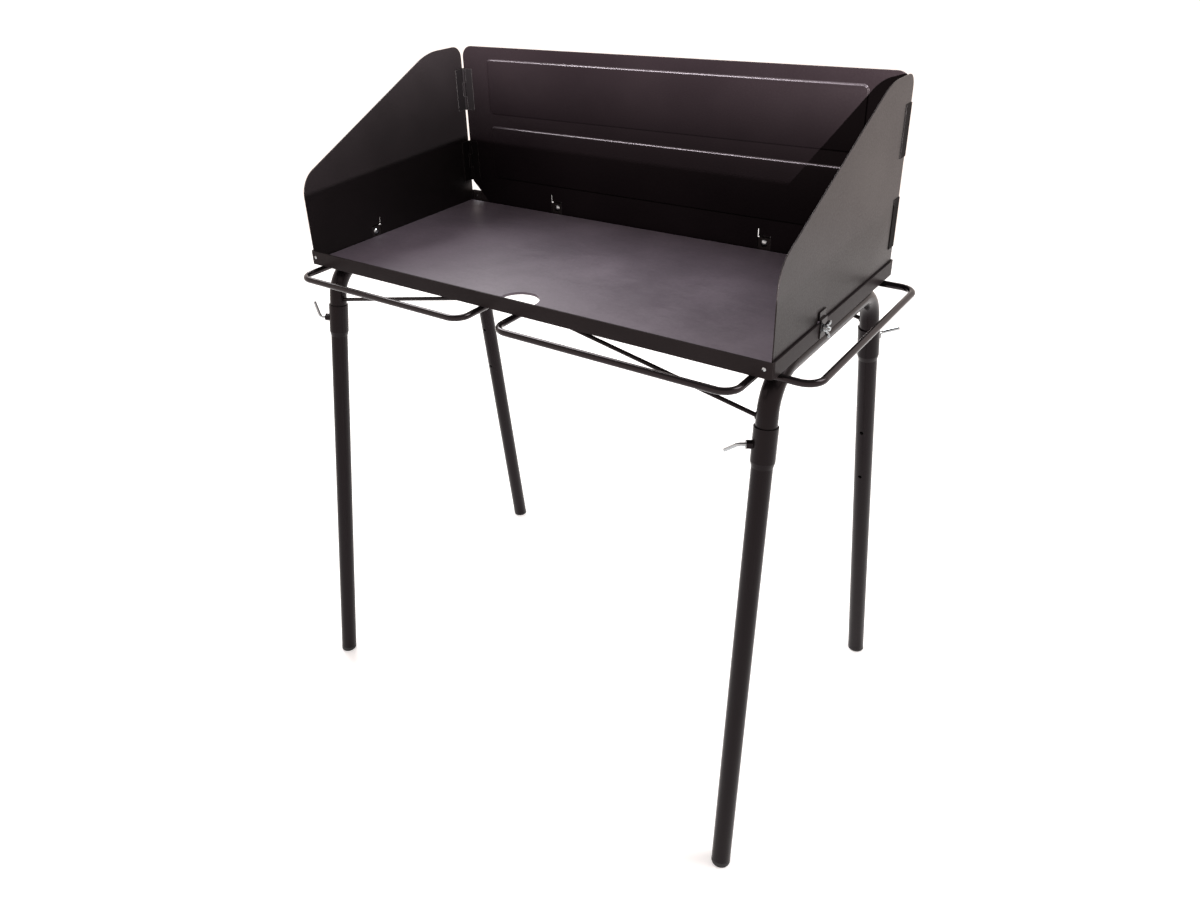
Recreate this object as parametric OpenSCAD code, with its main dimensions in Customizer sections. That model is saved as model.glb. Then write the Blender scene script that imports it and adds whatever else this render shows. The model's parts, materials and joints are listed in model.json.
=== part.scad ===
// Camp cooking table: a steel plate in a raised rim, a folding three-sided windscreen,
// two bent-tube leg frames with plug-on lower legs, and hanging bars under the rim.
// Millimetres. The floor is z = 0, the table's middle is x = y = 0, the open side faces -Y.

/* [Worktop] */
// Width of the rim, left to right
table_w = 812; // [780:1:900]
// Depth of the rim, front to back
table_d = 406; // [390:1:450]
// Height of the rim's top edge above the floor
rim_top_z = 802; // [720:1:900]
// Height of the rim's lip
rim_h = 22; // [20:0.5:28]
// Thickness of the rim's angle section
rim_t = 2.5; // [2:0.1:3]
// Width of the rim's flange under the plate
flange_w = 22; // [20:0.5:26]
// Radius of the rim's corners, seen from above
rim_corner_r = 6; // [3:0.5:6.5]
// Thickness of the cooking plate
plate_t = 4; // [2:0.5:6]
// Free strip between the plate's rear edge and the back panel, for the folded wings
plate_rear_gap = 10; // [10:0.5:14]
// Radius of the finger notch in the plate's front edge
notch_r = 31; // [20:1:40]
// Depth of the notch's straight sides, from the plate's front edge to its arc's centre
notch_depth = 28; // [20:1:40]
// Length of the ears that join the side rails to the front and rear rails
ear_l = 18; // [14:1:22]
// Thickness of the ears
ear_t = 1.5; // [1:0.1:2]
// Radius of the rivets in the ears
rivet_r = 2; // [1.5:0.1:2.5]

/* [Windscreen] */
// Thickness of the panel and the wings
sheet_t = 1.5; // [1:0.1:2]
// Height of the windscreen above the rim's top edge
screen_h = 262; // [240:1:300]
// Height of the wing's nose above the rim's top edge, before its rounding
nose_h = 114; // [90:1:130]
// Slope of the wing's front edge, in degrees
wing_slope = 25.6; // [20:0.1:30]
// Radius of the wing's nose
nose_r = 45; // [20:1:60]
// Radius where the wing's slope meets its top
shoulder_r = 120; // [60:1:150]
// Radius of the top corners at the back
corner_r = 20; // [10:1:30]
// Height of the cut-off lower corners of the back panel
corner_cut = 38; // [30:1:42]
// Length of the embossed fields
field_w = 688; // [600:1:700]
// Height of each embossed field
field_h = 94; // [70:1:98]
// Height of the lower field's bottom edge above the rim's top edge
field_low_h = 31; // [28:1:40]
// Distance from the lower field's bottom edge to the upper field's
field_pitch = 116; // [110:1:118]
// How far the fields stand out
field_rise = 1.2; // [0.6:0.1:1.5]
// Radius of the fields' corners
field_r = 9; // [4:1:15]

/* [Hinges] */
// Height of a hinge
hinge_h = 72; // [50:1:74]
// Height of the lower hinge's bottom end above the rim's top edge
hinge_low_h = 22; // [20:1:30]
// Distance from the lower hinge to the upper one
hinge_pitch = 129; // [110:1:135]
// Width of a hinge leaf on the sheet
leaf_w = 18; // [12:1:24]
// Thickness of a hinge leaf
leaf_t = 1; // [0.8:0.1:1.2]
// Distance of the pin's axis from the inner faces of the sheets
pin_offset = 3; // [2.8:0.1:3.2]
// Outer radius of the knuckles
knuckle_r = 2.5; // [2.3:0.1:2.6]
// Radius of the hinge pins
hinge_pin_r = 1.2; // [1:0.1:1.4]

/* [Clips] */
// Width of a panel clip
clip_w = 20; // [14:1:24]
// Thickness of a panel clip
clip_t = 1.5; // [1:0.1:2]
// Height of the clip's shelf above the rim's top edge
clip_rise = 3; // [2:0.5:6]
// Height of the clip's upstand above its shelf
clip_upstand = 10; // [6:1:14]
// Sideways place of the rear clips from the table's middle
rear_clip_x = 203; // [150:1:260]
// Place of the side clips in front of the table's middle
side_clip_y = 58; // [20:1:100]
// Radius of the clip bolts
bolt_r = 3; // [2.5:0.1:3.5]
// Radius of the clip bolts' heads
bolt_head_r = 6; // [5:0.1:6.4]
// Depth of the clip bolts' heads
bolt_head_t = 2.6; // [2:0.1:3]
// Span of a wing nut from tip to tip
wing_nut_span = 25; // [20:1:28]

/* [Legs] */
// Outer radius of the bent tube and of the lower legs
tube_r = 14; // [12:0.5:16]
// Wall of the tubes
tube_wall = 1.5; // [1.2:0.1:2]
// Distance from the rim's side face to the leg frame's axis
frame_inset = 17; // [16.5:0.5:20]
// Length of the leg frame's straight top
frame_run = 238; // [200:2:248]
// Outward tilt of the legs towards front and back, in degrees
leg_splay = 8; // [4:0.5:10]
// Outward tilt of the leg frames towards the sides, in degrees
leg_lean = 1.6; // [0:0.1:4]
// Bend radius of the leg frames, at the tube's axis
bend_r = 55; // [45:1:65]
// Distance along the leg from the frame's top to the lower leg's socket
socket_top = 65; // [62:1:80]
// Length of the lower leg's widened socket
socket_l = 47; // [40:1:70]
// Length of the taper under the socket
taper_l = 8; // [6:0.5:14]
// Wall of the socket
socket_wall = 1.7; // [1.4:0.1:2.2]
// Distance along the leg from the frame's top to the first cross hole of the rear legs
hole_top = 254; // [200:1:300]
// Distance between the cross holes
hole_pitch = 90; // [60:1:120]
// Radius of the cross holes
hole_r = 3; // [2:0.1:4]
// Thickness of a foot cap under the tube's end, at its axis
cap_t = 7; // [5:0.5:12]
// Length of a foot cap's plug inside the tube
cap_plug = 16; // [10:1:30]

/* [Thumbscrews] */
// Distance from the socket's mouth to the thumbscrew
thumb_drop = 25; // [18:1:30]
// Radius of the thumbscrews
thumb_r = 3; // [2.5:0.1:3.5]
// Length of the nut on the socket
thumb_nut_l = 7; // [5:0.5:9]
// Radius of the nut's corners
thumb_nut_r = 6.4; // [5.5:0.1:7]
// Length of the screw between its nut and its elbow
thumb_neck = 5; // [3:0.5:10]
// Length of the bent arm
thumb_arm = 22; // [16:1:28]
// Bend radius of the elbow, at the rod's axis
thumb_elbow_r = 8; // [7:0.5:10]
// Bend of the arm, in degrees
thumb_bend = 62; // [40:1:80]

/* [Bars] */
// Radius of the hanging bars
bar_r = 4.75; // [3:0.25:6]
// Reach of the hanging bars in front of the rim, to their axis
bar_reach = 46; // [35:1:60]
// Bend radius of the hanging bars, at their axis
bar_bend_r = 22; // [15:1:30]
// Left end of the front left bar, from the rim's left side
left_bar_from = 25; // [22:1:46]
// Right end of the front left bar, left of the table's middle
left_bar_to = 44; // [40:1:100]
// Left end of the front right bar, right of the table's middle
right_bar_from = 17; // [12:1:60]
// Right end of the front right bar, from the rim's right side
right_bar_to = 28; // [22:1:66]
// Front end of the side bar, from the rim's front
side_bar_from = 22; // [19:1:25]
// Rear end of the side bar, from the rim's back
side_bar_to = 33; // [27:1:37]
// Radius of the brace rods
brace_r = 3; // [2:0.25:4]
// Distance along the leg from the frame's top to the brace
brace_drop = 57; // [54:1:58]
// Distance of the braces' upper ends from the table's middle
brace_end_x = 85; // [60:1:200]

/* [Hidden] */
$fn = 48;

// Clearances
slip = 0.4;          // between a sheet and the rim beside it
rest_gap = 0.3;      // between a loose piece and what it stands on
run_fit = 0.05;      // radial, between a turning pin and its bore
bolt_fit = 0.2;      // radial, between a bolt or rivet and the hole it is clamped in
socket_fit = 0.3;    // radial, between a socket and the tube in it
notch_gap = 1;       // beside a clip, in its notch
knuckle_gap = 0.3;   // between two knuckles, and round a knuckle
eps = 0.01;          // how far a cut runs past the face that it opens
bend_thin = 0.05;    // how much slimmer a tube or rod is in its bends
bend_lap = 1;        // in degrees, how far a bend runs into the straights beside it

// Heights of the rim
rim_bottom_z = rim_top_z - rim_h;
flange_top_z = rim_bottom_z + rim_t;
plate_bottom_z = flange_top_z + rest_gap;
plate_top_z = plate_bottom_z + plate_t;

// Faces of the rim, the plate and the sheets, from the table's middle
lip_in_x = table_w / 2 - rim_t;
lip_in_y = table_d / 2 - rim_t;
flange_in_x = table_w / 2 - flange_w;
flange_in_y = table_d / 2 - flange_w;
wing_out_x = lip_in_x - slip;
wing_in_x = wing_out_x - sheet_t;
panel_out_y = lip_in_y - slip;
panel_in_y = panel_out_y - sheet_t;
front_y = -(lip_in_y - ear_t - slip);
plate_half_w = lip_in_x - bolt_head_t - 2 * slip - sheet_t;
plate_rear_y = panel_in_y - plate_rear_gap;
rivet_z = flange_top_z + (rim_top_z - flange_top_z) / 2;
rivet_x = lip_in_x - ear_l / 2;
rivet_head_r = 1.4 * rivet_r;
rivet_head_t = 0.6 * rivet_r;
rivet_tail_r = 1.5 * rivet_r;
rivet_tail_t = 0.45 * rivet_r;
plate_front_y = -(lip_in_y - ear_t - rivet_tail_t - slip);

// Windscreen
screen_top_z = rim_top_z + screen_h;
pin_x = wing_in_x - pin_offset;
pin_y = panel_in_y - pin_offset;
leaf_gap = 0.2;      // between the folds of a hinge's two leaves
edge_past = pin_offset - 2 * leaf_t - leaf_gap;   // how far the sheets' edges run past the pin's axis
panel_half_w = pin_x + edge_past;
wing_rear_y = pin_y + edge_past;
panel_bottom_z = flange_top_z + rest_gap;
wing_bottom_z = plate_top_z + slip;
nose_z = rim_top_z + nose_h;
shoulder_y = front_y + (screen_top_z - nose_z) / tan(wing_slope);
shoulder_room = wing_rear_y - corner_r - shoulder_y;
shoulder_fit_r = min(shoulder_r, shoulder_room / tan(wing_slope / 2));
field_wall = sheet_t;
field_gap = 1;       // between an embossed field and a hinge leaf

// Clips
clip_foot = 1;       // how far a clip stays above the rim's bottom edge
clip_bottom_z = rim_bottom_z + clip_foot;
shelf_z = rim_top_z + clip_rise;
shelf_top_z = shelf_z + clip_t;
notch_w = clip_w + 2 * notch_gap;
notch_top_z = shelf_top_z + rest_gap;
slit_w = 1.5;
slit_l = 10;
bolt_z = flange_top_z + rest_gap + plate_t + bolt_head_r + slip;
nut_boss_r = 5;
nut_boss_t = 5.5;
nut_wing_t = 2.2;
nut_wing_low = 1;    // how far the wings stay above the boss's seat
nut_ear_r = 0.18 * wing_nut_span;
nut_ear_rise = 4;    // how far the wings stand above the boss
nut_ear_z = nut_boss_t + nut_ear_rise - nut_ear_r;
bolt_tail = 3;

// Turns of the wing nuts from level, in degrees
rear_left_nut_turn = 20;
rear_right_nut_turn = 110;
left_nut_turn = 65;
right_nut_turn = 92;

// Legs, in the leg frame's own plane and along each leg's own axis
frame_x = table_w / 2 - frame_inset;
frame_z = rim_bottom_z - tube_r;
bend_start_y = frame_run / 2;
bend_end = bend_r * (1 - sin(leg_splay)) / cos(leg_splay);
leg_root_y = bend_start_y + bend_r * cos(leg_splay) - bend_end * sin(leg_splay);
bore_r = tube_r - tube_wall;
socket_r = tube_r + socket_fit;
socket_out_r = socket_r + socket_wall;
socket_end = socket_top + socket_l;
taper_end = socket_end + taper_l;
leg_end = frame_z / (cos(leg_splay) * cos(leg_lean));
tube_end = leg_end - cap_t;
thumb_at = socket_top + thumb_drop;
thumb_tip = tube_r + slip;
thumb_nut_end = socket_out_r + thumb_nut_l;
thumb_rod_r = 0.85 * thumb_r;
brace_sink = 0.6 * brace_r;   // from a brace's axis, at its upper end, to the flange
bar_end_in = 2;      // how far a bar's ends stay outside the flange's inner edge

// Side, end, thumbscrew heading and thumbscrew turn of each leg
FRONT_LEFT = [-1, -1, 208, 20];
FRONT_RIGHT = [1, -1, 216, 132];
REAR_RIGHT = [1, 1, 75, 68];
REAR_LEFT = [-1, 1, 28, 20];

// Finishes
coat = [0.10, 0.09, 0.09];
panel_coat = [0.13, 0.12, 0.12];
plate_steel = [0.36, 0.32, 0.36];
zinc = [0.78, 0.78, 0.76];
cap_black = [0.05, 0.05, 0.05];

// Points of an outline whose corners [x, y, radius] are rounded by arcs
function turned(p, c) = let (a = p - c) a / norm(a);
function arc_points(a, c, b, r, steps = 10) =
  r <= 0 ? [c] :
  let (
    u = turned(a, c),
    v = turned(b, c),
    half = acos(u * v) / 2,
    reach = r / tan(half),
    middle = c + (u + v) / norm(u + v) * r / sin(half),
    p = c + u * reach - middle,
    q = c + v * reach - middle,
    a0 = atan2(p[1], p[0]),
    raw = atan2(q[1], q[0]) - a0,
    sweep = raw > 180 ? raw - 360 : raw < -180 ? raw + 360 : raw
  )
  [for (i = [0 : steps]) middle + r * [cos(a0 + sweep * i / steps), sin(a0 + sweep * i / steps)]];
function xy(p) = [p[0], p[1]];
function rounded(corners) =
  let (n = len(corners))
  [for (i = [0 : n - 1])
    each arc_points(xy(corners[(i + n - 1) % n]), xy(corners[i]), xy(corners[(i + 1) % n]), corners[i][2])];

module box(from, to) {
  translate(from) cube(to - from);
}

module mirrored(side) {
  if (side < 0) mirror([1, 0, 0]) children();
  else children();
}

// A straight rod between two points
module rod(from, to, r) {
  d = to - from;
  flat_l = norm([d[0], d[1]]);
  translate(from)
    rotate([0, atan2(flat_l, d[2]), atan2(d[1], d[0])])
      cylinder(r = r, h = norm(d));
}

// A bend round z at radius turn_r, of a rod of radius r, from +x through an angle
module bend(turn_r, r, angle) {
  rotate([0, 0, -bend_lap]) rotate_extrude(angle = angle + 2 * bend_lap)
    translate([turn_r, 0]) circle(r = r - bend_thin);
}

// Puts an upright outline, drawn as [y, z], on a sheet at x, as thick as t towards +x
module upright_y(x, t) {
  translate([x, 0, 0]) rotate([90, 0, 90]) linear_extrude(t) children();
}

// Puts an upright outline, drawn as [x, z], on a sheet at y, as thick as t towards +y
module upright_x(y, t) {
  translate([0, y + t, 0]) rotate([90, 0, 0]) linear_extrude(t) children();
}

// Rim: front and rear rails run the full width, the side rails sit between them

// Trims rails to the rim's outline, whose corners are rounded
module in_rim() {
  x = table_w / 2;
  y = table_d / 2;
  r = rim_corner_r;
  intersection() {
    union() children();
    translate([0, 0, rim_bottom_z - eps]) linear_extrude(rim_h + 2 * eps)
      polygon(rounded([[-x, -y, r], [x, -y, r], [x, y, r], [-x, y, r]]));
  }
}

module long_rail(side) {
  difference() {
    in_rim() {
      box([-table_w / 2, side > 0 ? lip_in_y : -table_d / 2, rim_bottom_z],
          [table_w / 2, side > 0 ? table_d / 2 : -lip_in_y, rim_top_z]);
      box([-table_w / 2, side > 0 ? flange_in_y : -table_d / 2, rim_bottom_z],
          [table_w / 2, side > 0 ? table_d / 2 : -flange_in_y, flange_top_z]);
    }
    for (x = [-rivet_x, rivet_x]) rivet_hole(x, side);
    if (side > 0)
      for (x = [-rear_clip_x, rear_clip_x])
        translate([x, table_d / 2 + eps, bolt_z]) rotate([90, 0, 0])
          cylinder(r = bolt_r + bolt_fit, h = rim_t + 2 * eps);
  }
}

module rivet_hole(x, side) {
  translate([x, side * (lip_in_y - ear_t - eps), rivet_z]) rotate([-90 * side, 0, 0])
    cylinder(r = rivet_r + bolt_fit, h = rim_t + ear_t + 2 * eps);
}

module side_rail(side) {
  mirrored(side) difference() {
    in_rim() {
      box([lip_in_x, -lip_in_y, flange_top_z], [table_w / 2, lip_in_y, rim_top_z]);
      box([flange_in_x, -flange_in_y, rim_bottom_z], [table_w / 2, flange_in_y, flange_top_z]);
      for (end = [-1, 1])
        box([lip_in_x - ear_l, end > 0 ? lip_in_y - ear_t : -lip_in_y, flange_top_z],
            [table_w / 2, end > 0 ? lip_in_y : ear_t - lip_in_y, rim_top_z - rim_t]);
    }
    for (end = [-1, 1]) rivet_hole(rivet_x, end);
    translate([lip_in_x - eps, -side_clip_y, bolt_z]) rotate([0, 90, 0])
      cylinder(r = bolt_r + bolt_fit, h = rim_t + 2 * eps);
  }
}

module front_rail() {
  color(coat) long_rail(-1);
}

module rear_rail() {
  color(coat) long_rail(1);
}

module left_rail() {
  color(coat) side_rail(-1);
}

module right_rail() {
  color(coat) side_rail(1);
}

// A dome of radius r and height h on z = 0
module dome(r, h) {
  ball = (r * r + h * h) / (2 * h);
  intersection() {
    translate([0, 0, h - ball]) sphere(r = ball);
    cylinder(r = r, h = h);
  }
}

module corner_rivets() {
  grip = rim_t + ear_t;
  color(zinc)
    for (x = [-rivet_x, rivet_x], side = [-1, 1])
      translate([x, side * table_d / 2, rivet_z]) rotate([-90 * side, 0, 0]) {
        dome(rivet_head_r, rivet_head_t);
        translate([0, 0, -grip]) cylinder(r = rivet_r, h = grip);
        translate([0, 0, -grip - rivet_tail_t]) cylinder(r = rivet_tail_r, h = rivet_tail_t);
      }
}

module cooking_plate() {
  color(plate_steel) difference() {
    box([-plate_half_w, plate_front_y, plate_bottom_z], [plate_half_w, plate_rear_y, plate_top_z]);
    translate([0, plate_front_y + notch_depth, plate_bottom_z - eps])
      cylinder(r = notch_r, h = plate_t + 2 * eps);
    box([-notch_r, plate_front_y - eps, plate_bottom_z - eps],
        [notch_r, plate_front_y + notch_depth, plate_top_z + eps]);
  }
}

// Windscreen

// The opening round a clip in a sheet's lower edge, with a relief slit at its far end
module clip_notch(at, bottom_z, slit_end) {
  translate([at - notch_w / 2, bottom_z - eps]) square([notch_w, notch_top_z - bottom_z + eps]);
  translate([at + slit_end * (notch_w - slit_w) / 2 - slit_w / 2, notch_top_z - eps])
    square([slit_w, slit_l]);
}

// An embossed field's outline, which stops short of the hinge leaves
module field_outline(low_z, inset) {
  r = field_r - inset;
  w = field_w / 2 - inset;
  gap = field_gap + inset;
  difference() {
    polygon(rounded([
      [-w, low_z + inset, r],
      [w, low_z + inset, r],
      [w, low_z + field_h - inset, r],
      [-w, low_z + field_h - inset, r]
    ]));
    for (z = hinge_zs, side = [0, 1])
      mirror([side, 0]) translate([pin_x - leaf_w - gap, z - gap]) square([leaf_w + gap, hinge_h + 2 * gap]);
  }
}

module back_panel() {
  low = panel_bottom_z;
  w = panel_half_w;
  field_zs = [rim_top_z + field_low_h, rim_top_z + field_low_h + field_pitch];
  color(panel_coat) difference() {
    union() {
      upright_x(panel_in_y, sheet_t) difference() {
        polygon(rounded([
          [-w + corner_cut, low, 0],
          [w - corner_cut, low, 0],
          [w, low + corner_cut, 0],
          [w, screen_top_z, corner_r],
          [-w, screen_top_z, corner_r],
          [-w, low + corner_cut, 0]
        ]));
        for (x = [-rear_clip_x, rear_clip_x]) clip_notch(x, low, -1);
      }
      for (z = field_zs)
        upright_x(panel_in_y - field_rise, field_rise + eps) field_outline(z, 0);
    }
    for (z = field_zs)
      upright_x(panel_out_y - field_rise, field_rise + eps) field_outline(z, field_wall);
  }
}

module wing(side) {
  color(panel_coat) mirrored(side) upright_y(wing_in_x, sheet_t) difference() {
    polygon(rounded([
      [front_y, wing_bottom_z, 0],
      [wing_rear_y, wing_bottom_z, 0],
      [wing_rear_y, screen_top_z, corner_r],
      [shoulder_y, screen_top_z, shoulder_fit_r],
      [front_y, nose_z, nose_r]
    ]));
    clip_notch(-side_clip_y, wing_bottom_z, 1);
  }
}

module left_wing() {
  wing(-1);
}

module right_wing() {
  wing(1);
}

// Hinges: each leaf is folded over its sheet's edge, and carries its share of the knuckles.
// They are drawn for the right-hand corner, with the pin's axis at the origin.

third = hinge_h / 3;
pin_head_r = 1.8 * hinge_pin_r;
pin_head_t = 0.8;
hinge_zs = [rim_top_z + hinge_low_h, rim_top_z + hinge_low_h + hinge_pitch];

module at_hinges(side) {
  mirrored(side)
    for (z = hinge_zs) translate([pin_x, pin_y, z]) children();
}

// The spans of a hinge's height that belong to the panel leaf and to the wing leaf
panel_spans = [[0, third - knuckle_gap / 2], [2 * third + knuckle_gap / 2, hinge_h]];
wing_spans = [[third + knuckle_gap / 2, 2 * third - knuckle_gap / 2]];

module knuckles(spans, reach) {
  for (s = spans) translate([0, 0, s[0]]) {
    cylinder(r = knuckle_r, h = s[1] - s[0]);
    translate(reach[0]) cube([reach[1][0], reach[1][1], s[1] - s[0]]);
  }
}

module leaf_cutters(spans) {
  for (s = spans)
    translate([0, 0, s[0] - knuckle_gap])
      cylinder(r = knuckle_r + knuckle_gap, h = s[1] - s[0] + 2 * knuckle_gap);
}

module pin_bore() {
  translate([0, 0, -eps]) cylinder(r = hinge_pin_r + run_fit, h = hinge_h + 2 * eps);
}

// A strip folded over the edge of the back panel, and the knuckles that stand on it
module panel_leaf() {
  inner = pin_offset - leaf_t;
  outer = pin_offset + sheet_t + leaf_t;
  difference() {
    union() {
      difference() {
        box([-leaf_w, inner, 0], [leaf_t + edge_past, outer, hinge_h]);
        box([-leaf_w - eps, pin_offset, -eps], [edge_past, pin_offset + sheet_t, hinge_h + eps]);
        leaf_cutters(wing_spans);
      }
      knuckles(panel_spans, [[-knuckle_r, 0, 0], [knuckle_r + edge_past, pin_offset - leaf_t / 2]]);
    }
    pin_bore();
  }
}

// The same strip over the wing's rear edge
module wing_leaf() {
  inner = pin_offset - leaf_t;
  outer = pin_offset + sheet_t + leaf_t;
  difference() {
    union() {
      difference() {
        box([inner, -leaf_w, 0], [outer, leaf_t + edge_past, hinge_h]);
        box([pin_offset, -leaf_w - eps, -eps], [pin_offset + sheet_t, edge_past, hinge_h + eps]);
        leaf_cutters(panel_spans);
      }
      knuckles(wing_spans, [[0, -knuckle_r, 0], [pin_offset - leaf_t / 2, knuckle_r + edge_past]]);
    }
    pin_bore();
  }
}

module hinge_pin() {
  cylinder(r = hinge_pin_r, h = hinge_h + knuckle_gap);
  translate([0, 0, hinge_h + knuckle_gap]) cylinder(r = pin_head_r, h = pin_head_t);
}

module left_panel_hinge_leaves() {
  color(coat) at_hinges(-1) panel_leaf();
}

module left_wing_hinge_leaves() {
  color(coat) at_hinges(-1) wing_leaf();
}

module left_hinge_pins() {
  color(coat) at_hinges(-1) hinge_pin();
}

module right_panel_hinge_leaves() {
  color(coat) at_hinges(1) panel_leaf();
}

module right_wing_hinge_leaves() {
  color(coat) at_hinges(1) wing_leaf();
}

module right_hinge_pins() {
  color(coat) at_hinges(1) hinge_pin();
}

// Clips, bolts and wing nuts, drawn with the lip's inner face at the origin and +Y outwards

module at_rear_clip(side) {
  translate([side * rear_clip_x, lip_in_y, 0]) children();
}

module at_side_clip(side) {
  translate([side * lip_in_x, -side_clip_y, 0]) rotate([0, 0, -90 * side]) children();
}

module at_clips() {
  for (side = [-1, 1]) {
    at_rear_clip(side) children();
    at_side_clip(side) children();
  }
}

module panel_clips() {
  sheet_in = -slip - sheet_t;
  color(coat) at_clips() difference() {
    translate([-clip_w / 2, 0, 0]) rotate([90, 0, 90]) linear_extrude(clip_w) polygon([
      [rim_t, clip_bottom_z],
      [rim_t + clip_t, clip_bottom_z],
      [rim_t + clip_t, shelf_top_z],
      [clip_t, shelf_top_z],
      [clip_t, shelf_top_z + clip_upstand],
      [0, shelf_top_z + clip_upstand],
      [0, shelf_top_z],
      [sheet_in, shelf_top_z],
      [sheet_in, shelf_z],
      [rim_t, shelf_z]
    ]);
    translate([0, rim_t - eps, bolt_z]) rotate([-90, 0, 0])
      cylinder(r = bolt_r + bolt_fit, h = clip_t + 2 * eps);
  }
}

module clip_bolts() {
  nut_from = rim_t + clip_t + rest_gap;
  color(zinc) at_clips() translate([0, 0, bolt_z]) {
    rotate([90, 0, 0]) dome(bolt_head_r, bolt_head_t);
    rotate([-90, 0, 0]) cylinder(r = bolt_r, h = nut_from + nut_boss_t + bolt_tail);
  }
}

// A wing nut, turned from level by an angle
module wing_nut(turn) {
  ear_at = wing_nut_span / 2 - nut_ear_r;
  seat = rim_t + clip_t + rest_gap;
  color(zinc) translate([0, seat, bolt_z]) rotate([-90, 0, 0]) rotate([0, 0, turn]) difference() {
    union() {
      cylinder(r = nut_boss_r, h = nut_boss_t);
      for (s = [-1, 1])
        translate([s * ear_at, nut_wing_t / 2, nut_ear_z]) rotate([90, 0, 0])
          cylinder(r = nut_ear_r, h = nut_wing_t);
      translate([-ear_at, -nut_wing_t / 2, nut_wing_low])
        cube([2 * ear_at, nut_wing_t, nut_boss_t - nut_wing_low]);
    }
    translate([0, 0, -eps]) cylinder(r = bolt_r + run_fit, h = nut_ear_z + nut_ear_r);
  }
}

module rear_left_wing_nut() {
  at_rear_clip(-1) wing_nut(rear_left_nut_turn);
}

module rear_right_wing_nut() {
  at_rear_clip(1) wing_nut(rear_right_nut_turn);
}

module left_wing_nut() {
  at_side_clip(-1) wing_nut(left_nut_turn);
}

module right_wing_nut() {
  at_side_clip(1) wing_nut(right_nut_turn);
}

// Leg frames and legs. On a leg, z = 0 is the height of the frame's top tube and -z runs down it.

module on_frame(side) {
  translate([side * frame_x, 0, frame_z]) rotate([0, -side * leg_lean, 0]) children();
}

module on_leg(leg) {
  on_frame(leg[0]) translate([0, leg[1] * leg_root_y, 0]) rotate([leg[1] * leg_splay, 0, 0]) children();
}

// The solid of the bent tube with outer radius r, its ends lengthened by extra
module bent_tube(r, extra) {
  leg_l = socket_end - bend_end;
  translate([0, bend_start_y, 0]) rotate([90, 0, 0]) cylinder(r = r, h = 2 * bend_start_y);
  for (end = [-1, 1]) {
    translate([0, end * bend_start_y, -bend_r]) mirror([0, end < 0 ? 1 : 0, 0]) rotate([leg_splay, 0, 0]) {
      rotate([90, 0, 90]) bend(bend_r, r, 90 - leg_splay);
      translate([0, bend_r, -leg_l - extra]) cylinder(r = r, h = leg_l + extra);
    }
  }
}

module leg_frame(side) {
  color(coat) on_frame(side) difference() {
    bent_tube(tube_r, 0);
    bent_tube(bore_r, eps);
  }
}

module left_leg_frame() {
  leg_frame(-1);
}

module right_leg_frame() {
  leg_frame(1);
}

LEGS = [FRONT_LEFT, FRONT_RIGHT, REAR_RIGHT, REAR_LEFT];

module brace_rods() {
  color(coat) for (leg = LEGS) {
    sx = leg[0];
    sy = leg[1];
    foot = [sx * (frame_x + brace_drop * sin(leg_lean)),
            sy * (leg_root_y + brace_drop * sin(leg_splay)),
            frame_z - brace_drop * cos(leg_splay)];
    top = [sx * brace_end_x, sy * (flange_in_y + 2 * brace_r), rim_bottom_z - brace_sink];
    difference() {
      rod(foot, top, brace_r);
      on_leg(leg) translate([0, 0, -socket_end]) cylinder(r = tube_r, h = socket_end);
      box([-table_w, -table_d, rim_bottom_z], [table_w, table_d, rim_top_z]);
    }
  }
}

module thumb_place(leg) {
  translate([0, 0, -thumb_at]) rotate([0, 0, leg[2]]) rotate([0, 90, 0]) children();
}

module lower_leg(leg) {
  color(coat) on_leg(leg) difference() {
    rotate_extrude() polygon([
      [socket_r, -socket_top],
      [socket_out_r, -socket_top],
      [socket_out_r, -socket_end],
      [tube_r, -taper_end],
      [tube_r, -tube_end],
      [bore_r, -tube_end],
      [bore_r, -taper_end],
      [socket_r, -socket_end]
    ]);
    thumb_place(leg) cylinder(r = thumb_r + run_fit, h = thumb_nut_end);
    if (leg[1] > 0)
      for (i = [0, 1])
        translate([0, 0, -hole_top - i * hole_pitch]) rotate([90, 0, 0])
          cylinder(r = hole_r, h = 4 * tube_r, center = true);
  }
}

module leg_nut(leg) {
  color(coat) on_leg(leg) difference() {
    thumb_place(leg) cylinder(r = thumb_nut_r, h = thumb_nut_end, $fn = 6);
    translate([0, 0, -socket_end]) cylinder(r = socket_out_r, h = socket_l);
    thumb_place(leg) cylinder(r = thumb_r + run_fit, h = thumb_nut_end + eps);
  }
}

module thumbscrew(leg) {
  neck_end = thumb_nut_end + thumb_neck;
  color(zinc) on_leg(leg) thumb_place(leg) rotate([0, 0, leg[3]]) {
    translate([0, 0, thumb_tip]) cylinder(r = thumb_r, h = thumb_nut_end - thumb_tip);
    translate([0, 0, thumb_nut_end]) cylinder(r = thumb_rod_r, h = thumb_neck);
    translate([-thumb_elbow_r, 0, neck_end]) rotate([90, 0, 0])
      bend(thumb_elbow_r, thumb_rod_r, thumb_bend);
    translate([-thumb_elbow_r, 0, neck_end]) rotate([0, -thumb_bend, 0])
      translate([thumb_elbow_r, 0, 0]) cylinder(r = thumb_rod_r, h = thumb_arm);
  }
}

module foot_cap(leg) {
  color(cap_black) intersection() {
    on_leg(leg) union() {
      translate([0, 0, -leg_end - tube_r]) cylinder(r = tube_r, h = tube_r + cap_t);
      translate([0, 0, -tube_end]) cylinder(r = bore_r, h = cap_plug);
    }
    box([-table_w, -table_d, 0], [table_w, table_d, rim_bottom_z]);
  }
}

module front_left_leg() {
  lower_leg(FRONT_LEFT);
}

module front_right_leg() {
  lower_leg(FRONT_RIGHT);
}

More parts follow.
